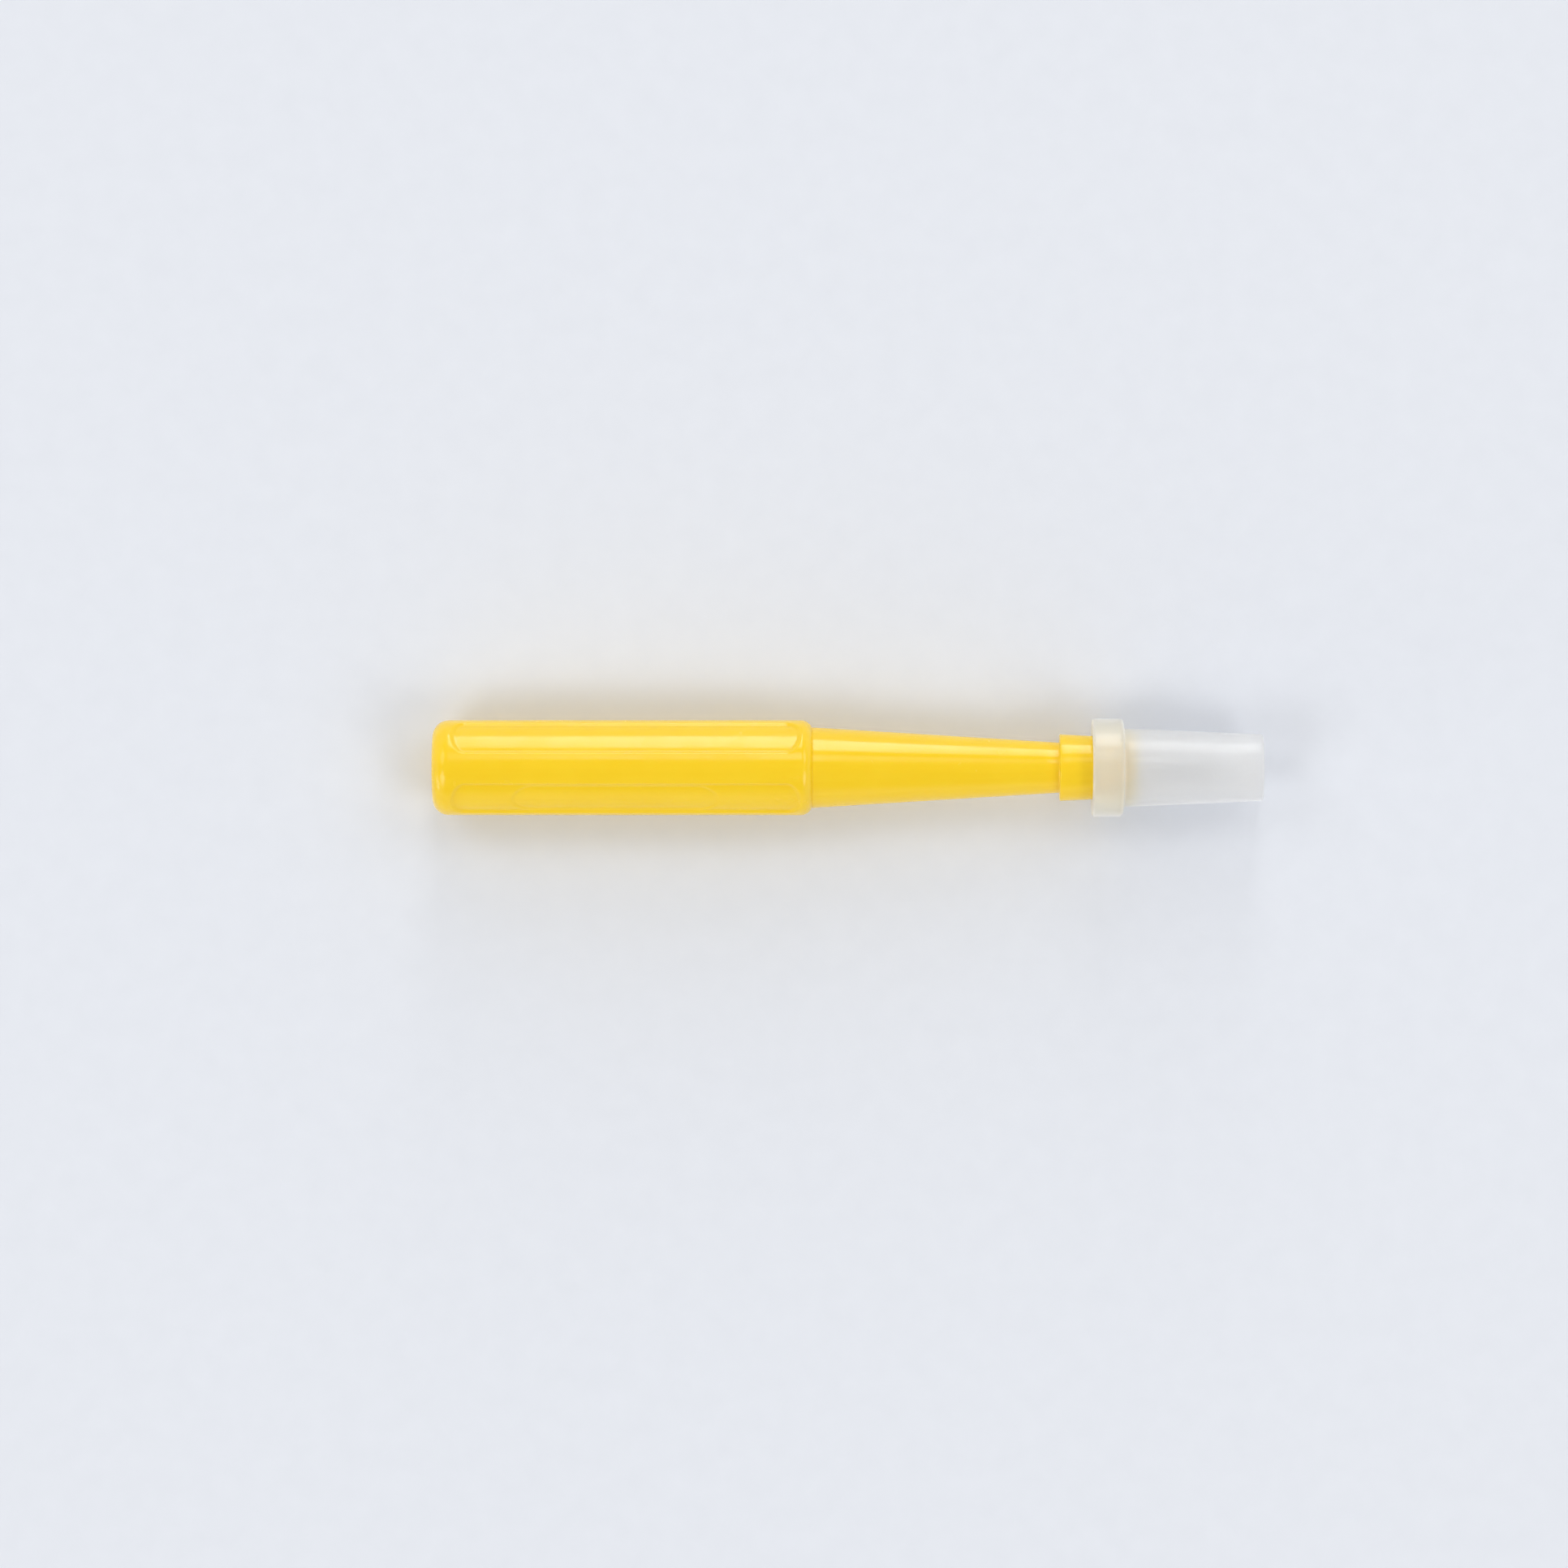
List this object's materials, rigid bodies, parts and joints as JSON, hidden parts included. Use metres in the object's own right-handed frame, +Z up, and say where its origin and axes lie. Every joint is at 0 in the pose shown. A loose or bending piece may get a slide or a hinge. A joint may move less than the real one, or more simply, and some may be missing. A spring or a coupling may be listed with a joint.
{
  "type": "biopsy punch",
  "caption": "Slim hand-held skin biopsy punch: round yellow grip with long sunk finger panels, tapered neck, stepped hub, round steel cutting tube and a frosted push-on cap over the cutting edge.",
  "frame": {"origin": "middle of the punch's bounding box on the surface that it lies on; the punch's axis is 6 mm above it", "axes": "+X along the axis towards the cutting edge and the cap's closed end, +Z up from the surface, +Y to the left of +X"},
  "size_m": [0.1016, 0.012, 0.012],
  "materials": {
    "handle_plastic": "glossy moulded yellow plastic",
    "tube_steel": "drawn stainless steel tube with a ground bevel",
    "cap_plastic": "frosted translucent natural plastic"
  },
  "bodies": {
    "punch": {"handle": "handle_plastic", "cutting_tube": "tube_steel"},
    "guard": {"cap": "cap_plastic"}
  },
  "joints": [
    {"name": "cap_pull", "type": "slide", "parent": "punch", "child": "guard", "axis": [1, 0, 0], "range_m": [0, 0.022]}
  ]
}
